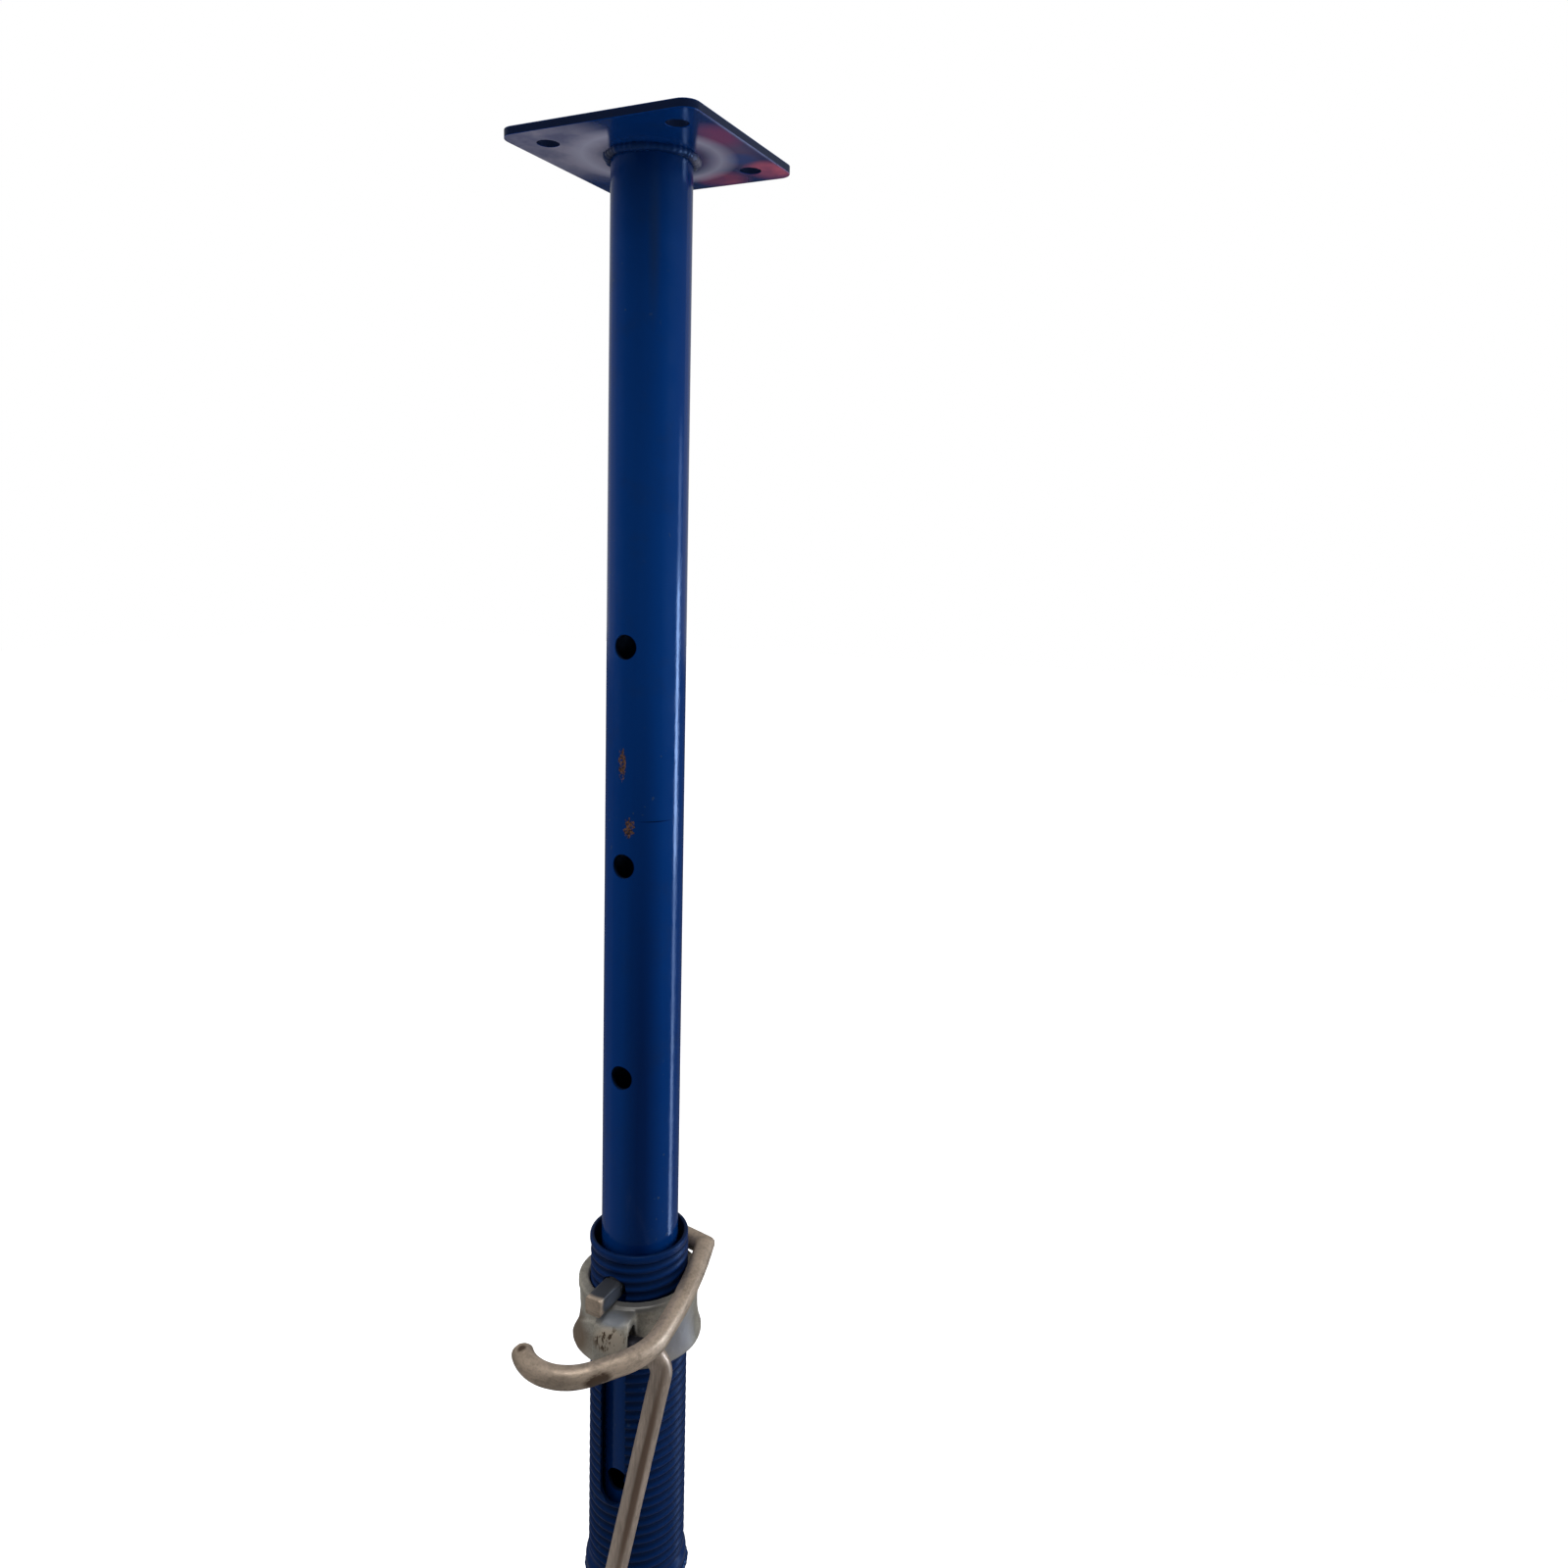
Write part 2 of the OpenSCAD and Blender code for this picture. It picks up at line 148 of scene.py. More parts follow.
camera_data = bpy.data.cameras.new("camera")
camera = bpy.data.objects.new("camera", camera_data)
bpy.context.scene.collection.objects.link(camera)
camera.location = EYE
camera.rotation_euler = [math.radians(turn) for turn in EYE_TURN]
camera_data.lens = 26.973
camera_data.sensor_width = 36
camera_data.shift_y = -0.0759
camera_data.clip_start = 0.01
bpy.context.scene.camera = camera
bpy.context.scene.view_settings.view_transform = "Standard"


# ---------------------------------------------------------------- finishes
class Wiring:
    """Shader nodes under construction, for a finish or for the world."""

    def __init__(self, tree):
        self.tree = tree

    def node(self, kind, **settings):
        """Adds one node with these settings."""
        made = self.tree.nodes.new("ShaderNode" + kind)
        for key, value in settings.items():
            setattr(made, key, value)
        return made

    def join(self, source, target):
        """Links a socket to an input, or sets the input to a plain value."""
        if isinstance(source, bpy.types.NodeSocket):
            self.tree.links.new(source, target)
        else:
            target.default_value = source

    def level(self, value, low, high, to_low=0.0, to_high=1.0):
        """Maps a value from one range to another and keeps it inside."""
        mapped = self.node("MapRange")
        for name, number in (("From Min", low), ("From Max", high),
                             ("To Min", to_low), ("To Max", to_high)):
            mapped.inputs[name].default_value = number
        self.join(value, mapped.inputs["Value"])
        return mapped.outputs["Result"]

    def combine(self, how, one, other=0.0):
        """One Math node, such as SUBTRACT, MAXIMUM or ABSOLUTE."""
        made = self.node("Math", operation=how)
        self.join(one, made.inputs[0])
        self.join(other, made.inputs[1])
        return made.outputs["Value"]

    def times(self, one, other):
        """One value multiplied by another."""
        return self.combine("MULTIPLY", one, other)

    def length(self, vector):
        """The vector's length."""
        reach = self.node("VectorMath", operation="LENGTH")
        self.join(vector, reach.inputs[0])
        return reach.outputs["Value"]

    def split(self, vector):
        """The vector's X, Y and Z."""
        parts = self.node("SeparateXYZ")
        self.join(vector, parts.inputs[0])
        return parts.outputs


class Finish(Wiring):
    """A material under construction: one surface shader and the nodes that feed it."""

    def __init__(self, name):
        self.material = bpy.data.materials.new(name)
        self.material.use_nodes = True
        super().__init__(self.material.node_tree)
        self.surface = self.tree.nodes["Principled BSDF"]
        self.place = self.node("TexCoord").outputs["Object"]

    def stretched(self, scale, turn=(0, 0, 0)):
        """Object coordinates, stretched or turned."""
        mapping = self.node("Mapping")
        mapping.inputs["Scale"].default_value = scale
        mapping.inputs["Rotation"].default_value = turn
        self.join(self.place, mapping.inputs["Vector"])
        return mapping.outputs["Vector"]

    def from_axis(self):
        """How far a point is from the tubes' axis."""
        return self.length(self.stretched((1, 1, 0)))

    def noise(self, scale, detail=3, rough=0.5, where=None, warp=0.0):
        """Clouds from 0 to 1 on the piece's own coordinates."""
        noise = self.node("TexNoise")
        noise.inputs["Scale"].default_value = scale
        noise.inputs["Detail"].default_value = detail
        noise.inputs["Roughness"].default_value = rough
        noise.inputs["Distortion"].default_value = warp
        self.join(where or self.place, noise.inputs["Vector"])
        return noise.outputs["Fac"]

    def ramp(self, value, *stops):
        """Maps a value to colours, given as (position, colour)."""
        ramp = self.node("ValToRGB")
        elements = ramp.color_ramp.elements
        while len(elements) < len(stops):
            elements.new(0.5)
        for element, (position, colour) in zip(elements, stops):
            element.position = position
            element.color = (*colour, 1)
        self.join(value, ramp.inputs["Fac"])
        return ramp.outputs["Color"]

    def blend(self, amount, under, over):
        """Lays one colour over another by this amount."""
        mix = self.node("Mix", data_type="RGBA")
        self.join(amount, mix.inputs[0])
        for value, socket in ((under, mix.inputs[6]), (over, mix.inputs[7])):
            if isinstance(value, tuple):
                socket.default_value = (*value, 1)
            else:
                self.join(value, socket)
        return mix.outputs[2]

    def spot(self, centre, size, turn=(0, 0, 0)):
        """1 at a place on the piece, falling to 0 at its edge; size gives the half lengths."""
        mapping = self.node("Mapping", vector_type="TEXTURE")
        mapping.inputs["Location"].default_value = centre
        mapping.inputs["Rotation"].default_value = turn
        mapping.inputs["Scale"].default_value = size
        self.join(self.place, mapping.inputs["Vector"])
        return self.level(self.length(mapping.outputs["Vector"]), 1, 0)

    def bump(self, height, distance, after=None):
        """Raises or presses the skin, on top of an earlier bump."""
        bump = self.node("Bump")
        bump.inputs["Distance"].default_value = distance
        self.join(height, bump.inputs["Height"])
        if after:
            self.join(after, bump.inputs["Normal"])
        return bump.outputs["Normal"]

    def finish(self, colour, roughness, normal=None, **fixed):
        """Feeds the surface shader, and sets the inputs that are the same all over."""
        for value, name in ((colour, "Base Color"), (roughness, "Roughness"), (normal, "Normal")):
            if value is not None:
                self.join(value, self.surface.inputs[name])
        for name, value in fixed.items():
            self.surface.inputs[name.replace("_", " ")].default_value = value
        return self.material


# colours are linear red, green and blue; places and lengths are metres
NO_TURN = (0, 0, 0)
LUG_TURN = math.radians(13)

# paint: dark, middle and light
PAINT_BLUES = [(0.0006, 0.021, 0.115), (0.0010, 0.028, 0.150), (0.0022, 0.035, 0.172)]
SLEEVE_BLUES = [(0.0012, 0.013, 0.064), (0.0022, 0.018, 0.092), (0.0040, 0.025, 0.118)]
PAINT_DUST = (0.010, 0.024, 0.070)
PAINT_SCRATCH = (0.020, 0.050, 0.14)
PAINT_SPECK = (0.03, 0.055, 0.11)
# painted shade for the hollows
PAINT_HOLLOW_SHADE = (0.0006, 0.004, 0.020)
PAINT_GLEAM = (0.25, 0.52, 1.0, 1.0)
PAINT_GRIT, PAINT_PEEL, PAINT_CHIP = 0.00002, 0.00008, 0.00012
RUST_DARK, RUST_LIGHT = (0.020, 0.010, 0.008), (0.16, 0.075, 0.035)

# rust on the inner tube: centre, half lengths
TUBE_RUST = [((-0.001, -0.0241, 1.369), (0.0038, 0.005, 0.014)),
             ((0.004, -0.0238, 1.331), (0.0052, 0.006, 0.0085))]

# tints on the paint: centre, half lengths, turn, colour, how much.
# On the tube, a painted shade as a deep band beside the bright line, a mark across it, a painted
# shadow under the head plate that darkens the top, and a paler streak
# the first and third rows are painted shade and painted shadow
TUBE_TINTS = [((0.0129, -0.0204, 1.13), (0.013, 0.013, 0.30), NO_TURN, (0.0004, 0.012, 0.075), 1),
              ((0.018, -0.016, 1.3350), (0.013, 0.013, 0.0006), NO_TURN, (0.0006, 0.006, 0.030), 1),
              ((0, 0, 1.720), (0.05, 0.05, 0.055), NO_TURN, (0.0006, 0.008, 0.040), 0.7),
              ((0.0143, -0.0194, 1.675), (0.0045, 0.0045, 0.06), NO_TURN, (0.008, 0.026, 0.090), 0.7)]
# a painted highlight along the head plate's lower edge on the right
HEAD_EDGE_HIGHLIGHT = [((0.0622, 0.0, PLATE_LOW.z), (0.0011, 0.075, 0.0009), NO_TURN, (0.16, 0.18, 0.33), 1)]
# a whitish spot on the heavy part of the head's weld and a grey spot further round
WELD_TINTS = [((0.0265, 0.009, 1.7205), (0.007, 0.012, 0.006), NO_TURN, (0.17, 0.165, 0.21), 0.8),
              ((-0.016, -0.024, 1.7215), (0.010, 0.010, 0.005), NO_TURN, (0.045, 0.046, 0.060), 0.8)]

# clouds on the head plate's underside: centre, half lengths, colour, how much
PLATE_CLOUDS = [((-0.040, -0.030), (0.050, 0.062), (0.40, 0.38, 0.50), 0.85),
               ((0.040, 0.000), (0.034, 0.052), (0.16, 0.11, 0.22), 0.8),
               ((0.053, -0.018), (0.015, 0.022), (0.26, 0.060, 0.17), 0.8),
               ((0.055, 0.046), (0.018, 0.020), (0.80, 0.17, 0.26), 1),
               ((0.020, 0.050), (0.020, 0.016), (0.50, 0.10, 0.17), 0.9),
               ((0.046, 0.021), (0.013, 0.012), (0.030, 0.080, 0.300), 0.8)]
CLOUD_REACH = 0.01
HAZE_R, HAZE_HALF, HAZE_COLOUR = 0.0405, 0.0105, (0.58, 0.57, 0.74)
# a painted reflection of the tube: a strip of the underside left plain, which runs this way
TUBE_MIRROR_TURN = math.radians(-32.3)
TUBE_MIRROR_EDGE = (0.0236, 0.0252)
PLATE_WALL = (0.006, 0.008, 0.020)
# depths below the underside, so negative in the plate: where the clouds fade out, and where the
# darkened wall starts and ends
CLOUD_DEPTH = (-0.0003, -0.0001)
WALL_START, WALL_END = (-0.0004, -0.0006), (-0.0047, -0.0044)

# zinc: base tones
CAST_TONE = (0.38, 0.355, 0.305)
PIN_TONE = (0.56, 0.445, 0.345)
HANDLE_TONE = (0.58, 0.47, 0.395)
ZINC_FILM = (0.72, 0.70, 0.66)
ZINC_STAIN_AND_SHADE = (0.115, 0.076, 0.052)
ZINC_LUMPS, ZINC_GRAINS, ZINC_TORN = 0.00016, 0.00006, 0.0004
LUG_SCUFF, LUG_TORN = (0.56, 0.47, 0.37), (0.10, 0.068, 0.042)

# shades on the zinc: centre, half lengths, turn, colour, width of the soft edge.
# On the nut, all painted shade: in the lug's mouth, brown low on the left side, a painted shadow on
# the rim under the sleeve, bluish on the lug's up-facing brow, and cool on the right side
NUT_PAINTED_SHADE = [((0.0216, -0.0400, 1.018), (0.010, 0.010, 0.016), NO_TURN, (0.035, 0.033, 0.045), 0.35),
              ((-0.025, -0.030, 1.006), (0.022, 0.022, 0.016), NO_TURN, (0.20, 0.150, 0.108), 0.6),
              ((0.012, -0.030, 1.0375), (0.036, 0.020, 0.0045), NO_TURN, (0.17, 0.165, 0.155), 0.5),
              ((0.0099, -0.0455, 1.0350), (0.013, 0.009, 0.0045), (0, 0, LUG_TURN),
               (0.21, 0.225, 0.245), 0.5),
              ((0.040, -0.012, 1.012), (0.018, 0.022, 0.022), NO_TURN, (0.26, 0.26, 0.28), 0.6)]
# the torn marks on the lug's front: centre, half lengths, turn
LUG_MARKS = ((0.054 * math.sin(LUG_TURN), -0.054 * math.cos(LUG_TURN), NUT_HIGH.z - 0.0115),
             (0.0160, 0.008, 0.0130), (0, 0, LUG_TURN))
# the pin's dark tip, and a painted highlight on the tip's right side
PIN_SHADES = [((0, -0.0300, PIN_Z), (0.018, 0.0212, 0.018), NO_TURN, (0.078, 0.083, 0.096), 0.12),
              ((0.0056, -0.0380, PIN_Z - 0.0010), (0.0016, 0.0125, 0.0055), NO_TURN,
               (0.13, 0.155, 0.21), 0.5)]
# brown marks on the pin: staining on the hook and on the hook's end, and under the loop a painted
# shade with brown staining
PIN_STAINS_AND_SHADE = [((0.0385, -0.1025, PIN_Z - 0.0008), (0.011, 0.010, 0.0060), (0, 0, 0.6)),
              ((0.012, -0.090, PIN_Z - 0.0060), (0.050, 0.040, 0.0058), NO_TURN),
              ((-0.0085, -0.1075, PIN_Z + 0.0050), (0.0035, 0.0035, 0.0030), NO_TURN)]
# a dark brown painted reflection down the handle's middle, and painted shade on its stub in the lug's
# mouth
HANDLE_PAINTED_SHADE = [((0.0295, -0.0449, NUT_HIGH.z - 0.099), (0.0029, 0.0060, 0.095),
                  (0, math.radians(11.6), LUG_TURN), (0.23, 0.155, 0.115), 0.5),
                 ((0.021, -0.039, 1.018), (0.012, 0.011, 0.014), NO_TURN, (0.028, 0.028, 0.038), 0.3)]


def plate_marks(paint, colour, height):
    """Milky haze and reddish clouds on the underside of a plate at this height, in a ring round
    its weld, left out in a strip that is a painted reflection of the tube; its edges and hole
    walls are darkened."""
    below = paint.combine("SUBTRACT", height, paint.split(paint.place)["Z"])
    face = paint.level(below, *CLOUD_DEPTH)
    # the plain strip is a painted reflection of the tube
    across = paint.split(paint.stretched((1, 1, 1), (0, 0, TUBE_MIRROR_TURN)))["X"]
    face = paint.times(face, paint.level(paint.combine("ABSOLUTE", across), *TUBE_MIRROR_EDGE))
    patchiness = paint.level(paint.noise(34, 4, 0.55), 0.30, 0.55, 0.45)
    for centre, size, tint, much in PLATE_CLOUDS:
        cloud = paint.level(paint.spot((*centre, height), (*size, CLOUD_REACH)), 0.0, 0.55, 0, much)
        colour = paint.blend(paint.times(paint.times(face, cloud), patchiness), colour, tint)
    from_ring = paint.combine("ABSOLUTE", paint.combine("SUBTRACT", paint.from_axis(), HAZE_R))
    haze = paint.times(face, paint.level(from_ring, HAZE_HALF, 0.0, 0, 0.7))
    colour = paint.blend(haze, colour, HAZE_COLOUR)
    wall = paint.times(paint.level(below, *WALL_START), paint.level(below, *WALL_END))
    return paint.blend(paint.times(wall, 0.9), colour, PLATE_WALL)


def blue_paint(name, rust_spots=(), shades=PAINT_BLUES, roughness=(0.10, 0.20), scuffs=0.5, dust=0.35,
               gloss=0.5, tints=(), underside=None, hollows=None):
    """Deep blue gloss paint: cloudy depth, fine dust in the paint, thin scratches and specks, with
    tints (some of them painted shade, a painted shadow or a painted highlight), haze and clouds
    on a plate's underside, a painted shade in hollows between two radii and rust where given."""
    paint = Finish(name)
    clouds = paint.noise(7, 4, 0.55, paint.stretched((1, 1, 0.22)))
    colour = paint.ramp(clouds, (0.30, shades[0]), (0.52, shades[1]), (0.72, shades[2]))
    grime = paint.level(paint.noise(38, 5, 0.62), 0.55, 0.80)
    colour = paint.blend(paint.times(grime, dust), colour, PAINT_DUST)
    hairs = paint.noise(52, 2, 0.5, paint.stretched((1, 1, 0.05)), 0.6)
    hairs = paint.times(paint.level(hairs, 0.685, 0.70), scuffs)
    hairs = paint.times(hairs, paint.level(paint.noise(11, 2), 0.48, 0.62))
    colour = paint.blend(hairs, colour, PAINT_SCRATCH)
    specks = paint.level(paint.noise(260, 1, 0.4), 0.735, 0.76)
    specks = paint.times(specks, paint.level(paint.noise(9, 2), 0.5, 0.66))
    colour = paint.blend(specks, colour, PAINT_SPECK)
    grit = paint.bump(paint.noise(900, 2, 0.5), PAINT_GRIT)
    normal = paint.bump(paint.noise(130, 2, 0.5), PAINT_PEEL, grit)
    rough = paint.level(paint.noise(60, 4), 0.3, 0.75, *roughness)
    if underside is not None:
        colour = plate_marks(paint, colour, underside)
    # painted shade in the hollows: full inside the inner radius, fading out at the outer
    if hollows:
        inner, outer, amount = hollows
        hollow = paint.level(paint.from_axis(), outer, inner, 0, amount)
        colour = paint.blend(hollow, colour, PAINT_HOLLOW_SHADE)
        rough = paint.combine("MAXIMUM", rough, paint.times(hollow, 0.9))
    # tints at given places, among them painted shade, a painted shadow and a painted highlight
    for centre, size, turn, tint, much in tints:
        amount = paint.level(paint.spot(centre, size, turn), 0.0, 0.8, 0, much)
        colour = paint.blend(amount, colour, tint)
    rust = None
    for centre, size in rust_spots:
        torn = paint.times(paint.spot(centre, size), paint.level(paint.noise(420, 4, 0.7), 0.36, 0.62))
        rust = torn if rust is None else paint.combine("MAXIMUM", rust, torn)
    if rust is not None:
        bare = paint.level(rust, 0.16, 0.26)
        colour = paint.blend(bare, colour, paint.ramp(paint.noise(900, 3), (0.35, RUST_DARK),
                                                      (0.65, RUST_LIGHT)))
        rough = paint.combine("MAXIMUM", rough, paint.times(bare, 0.8))
        normal = paint.bump(paint.combine("SUBTRACT", 1.0, bare), PAINT_CHIP, normal)
    return paint.finish(colour, rough, normal, Specular_IOR_Level=gloss, Specular_Tint=PAINT_GLEAM)


def shade_of(tone, *shares):
    """The tone with each part multiplied by a share, or all by one share, and never above 1."""
    return tuple(min(share * part, 1) for share, part in zip(shares * 3, tone))


def zinc(name, tone, along=(1, 1, 1), turn=NO_TURN, stains_and_shade=(), shades=(), marks=None, grain=1.0,
         shine=0.65, rough=(0.30, 0.50)):
    """Hot-dip zinc on rough steel: soft grey clouds, worn streaks along the piece, a granular
    skin, painted shade and highlights at given places, brown rubbed places (under the pin's loop
    also a painted shade) and, on the lug's front, torn dark marks."""
    coat = Finish(name)
    dark, light = shade_of(tone, 0.60), shade_of(tone, 1.22)
    way = coat.stretched(along, turn)
    cloud = coat.noise(60, 5, 0.62, way)
    colour = coat.ramp(cloud, (0.30, dark), (0.50, tone), (0.68, light))
    patchiness = coat.level(coat.noise(17, 3, 0.5), 0.42, 0.66)
    colour = coat.blend(coat.times(patchiness, 0.55), colour, shade_of(tone, *ZINC_FILM))
    grains = coat.noise(820, 3, 0.6, way)
    colour = coat.blend(coat.times(coat.level(grains, 0.50, 0.64), 0.45), colour, light)
    colour = coat.blend(coat.times(coat.level(grains, 0.47, 0.36), 0.4), colour, dark)
    smudge = coat.level(coat.noise(95, 5, 0.68, way, 0.4), 0.52, 0.68)
    colour = coat.blend(coat.times(smudge, 0.55), colour, shade_of(tone, 0.40))
    # spots at given places, most of them painted shade or a painted highlight
    for centre, size, lean, tint, edge in shades:
        colour = coat.blend(coat.level(coat.spot(centre, size, lean), 0.0, edge), colour, tint)
    stain_and_shade = None
    for place in stains_and_shade:
        one = coat.times(coat.spot(*place), coat.level(coat.noise(170, 4, 0.7, way), 0.22, 0.52))
        stain_and_shade = one if stain_and_shade is None else coat.combine("MAXIMUM", stain_and_shade, one)
    # brown staining; under the pin's loop it is also a painted shade
    if stain_and_shade is not None:
        colour = coat.blend(coat.level(stain_and_shade, 0.08, 0.42), colour, ZINC_STAIN_AND_SHADE)
    lumps = coat.bump(coat.noise(210, 4, 0.6), ZINC_LUMPS * grain)
    normal = coat.bump(grains, ZINC_GRAINS * grain, lumps)
    if marks is not None:
        zone = coat.level(coat.spot(*marks), 0.25, 0.55)
        torn = coat.noise(340, 3, 0.6, coat.stretched((1, 1, 0.36)))
        torn = coat.times(coat.level(torn, 0.535, 0.585), zone)
        colour = coat.blend(coat.times(zone, 0.7), colour, LUG_SCUFF)
        colour = coat.blend(torn, colour, LUG_TORN)
        normal = coat.bump(coat.combine("SUBTRACT", 1.0, torn), ZINC_TORN, normal)
    return coat.finish(colour, coat.level(cloud, 0.3, 0.75, *rough), normal, Metallic=shine,
                       Specular_IOR_Level=0.5)


# painted shade darkens the inside of each tube, and the sleeve's thread valleys and bore
tube_blue = blue_paint("gloss_blue_tube", TUBE_RUST, tints=TUBE_TINTS,
                       hollows=(INNER_R - 0.0010, INNER_R - 0.0004, 1))
plate_blue = blue_paint("gloss_blue_plate")
head_blue = blue_paint("gloss_blue_head", tints=HEAD_EDGE_HIGHLIGHT, underside=PLATE_LOW.z)
weld_blue = blue_paint("weld_blue", shades=SLEEVE_BLUES, roughness=(0.25, 0.4), tints=WELD_TINTS)
sleeve_blue = blue_paint("satin_blue_sleeve", shades=SLEEVE_BLUES, roughness=(0.28, 0.42), scuffs=0.8,
                         dust=0.5, gloss=0.25, hollows=(0.0299, 0.0306, 0.6))
cast_zinc = zinc("cast_zinc", CAST_TONE, shades=NUT_PAINTED_SHADE, marks=LUG_MARKS, shine=0.45,
                 rough=(0.36, 0.55))
pin_zinc = zinc("pin_zinc", PIN_TONE, along=(0.6, 0.6, 1.4), stains_and_shade=PIN_STAINS_AND_SHADE, shades=PIN_SHADES,
                grain=0.7, rough=(0.36, 0.54))
handle_zinc = zinc("handle_zinc", HANDLE_TONE, along=(1, 1, 0.12), turn=(0, -0.2, 0),
                   shades=HANDLE_PAINTED_SHADE, grain=0.7)

for node, finish in (("head_plate", head_blue), ("base_plate", plate_blue),
                     ("inner_tube", tube_blue), ("outer_tube", tube_blue),
                     ("thread_sleeve", sleeve_blue), ("head_weld", plate_blue),
                     ("base_weld", plate_blue), ("sleeve_weld", sleeve_blue),
                     ("prop_nut", cast_zinc), ("g_pin", pin_zinc), ("nut_handle", handle_zinc)):
    prop_nodes[node].data.materials.clear()
    prop_nodes[node].data.materials.append(finish)


# ---------------------------------------------------------------- threaded sleeve
SAME_HEIGHT = 2e-5
THREAD_PITCH = 0.006
THREAD_CREST = 0.0309
THREAD_ROOT = 0.0298
THREAD_DEPTH = THREAD_CREST - THREAD_ROOT
THREAD_FOOT = SLEEVE_LOW.z + 0.0160
THREAD_TOP = SLEEVE_HIGH.z - 0.0056
THREAD_START = SLEEVE_LOW.z + 0.00496
STEPS_A_TURN = 120
# one soft ridge: height as a share of the pitch, radius as a share of the thread's depth
RIDGE = [(0.12, 0.12), (0.25, 0.60), (0.36, 0.95), (0.45, 1.0), (0.55, 0.95), (0.68, 0.55),
         (0.82, 0.10), (1.0, 0.0)]
BORE_R = 0.0284
SEAT_R = 0.03035
BELL_R = SLEEVE_HIGH.x
# the rolled lip, from the thread over the rim into the bore: radius, depth below the rim
LIP = [(0.0300, 0.0054), (0.0305, 0.0050), (0.0309, 0.0044), (0.0311, 0.0034), (0.03115, 0.0022),
       (0.0311, 0.0011), (0.0308, 0.0004), (0.0302, 0.0), (0.0291, 0.0), (0.0286, 0.0003),
       (BORE_R, 0.0009), (BORE_R, 0.0050)]
# the bell, from the thread down round its foot and up into the bore: radius, height over the foot
BELL = [(0.0300, 0.0158), (0.0306, 0.0153), (0.03095, 0.0143), (0.0309, 0.0134), (0.0306, 0.0121),
        (0.0306, 0.0113), (0.0310, 0.0100), (0.0317, 0.0087), (0.0323, 0.0075), (BELL_R, 0.0060),
        (BELL_R, 0.0030), (BELL_R - 0.0006, 0.0010), (BELL_R - 0.0014, 0.0), (SEAT_R, 0.0),
        (SEAT_R, 0.0152), (BORE_R, 0.0156), (BORE_R, 0.0300)]
SLOT_TOP = SLEEVE_HIGH.z - 0.0145
SLOT_FOOT = SLOT_TOP - 0.1515
SLOT_HALF = 0.009


def next_ring(piece, radius, height):
    """Extrudes the selected ring to a new radius and height about the tubes' axis."""
    bpy.ops.mesh.extrude_region_move()
    mesh = bmesh.from_edit_mesh(piece.data)
    ring = [vert.co for vert in mesh.verts if vert.select]
    now_radius = sum(math.hypot(co.x, co.y) for co in ring) / len(ring)
    now_height = sum(co.z for co in ring) / len(ring)
    bpy.ops.transform.translate(value=(0, 0, height - now_height))
    widen = radius / now_radius
    bpy.ops.transform.resize(value=(widen, widen, 1), center_override=(0, 0, height))


def cut_off(height, above):
    """Cuts the open piece level at a height and clears what is above or below it."""
    bpy.ops.mesh.select_all(action="SELECT")
    bpy.ops.mesh.bisect(plane_co=(0, 0, height), plane_no=(0, 0, 1), clear_outer=above,
                        clear_inner=not above, threshold=1e-7)


def pick_borders(piece, *heights):
    """Selects the open borders of the open piece at these heights."""
    bpy.ops.mesh.select_all(action="DESELECT")
    mesh = bmesh.from_edit_mesh(piece.data)
    for edge in mesh.edges:
        height = (edge.verts[0].co.z + edge.verts[1].co.z) / 2
        if edge.is_boundary and any(abs(height - wanted) < SAME_HEIGHT for wanted in heights):
            edge.select_set(True)
    bmesh.update_edit_mesh(piece.data)


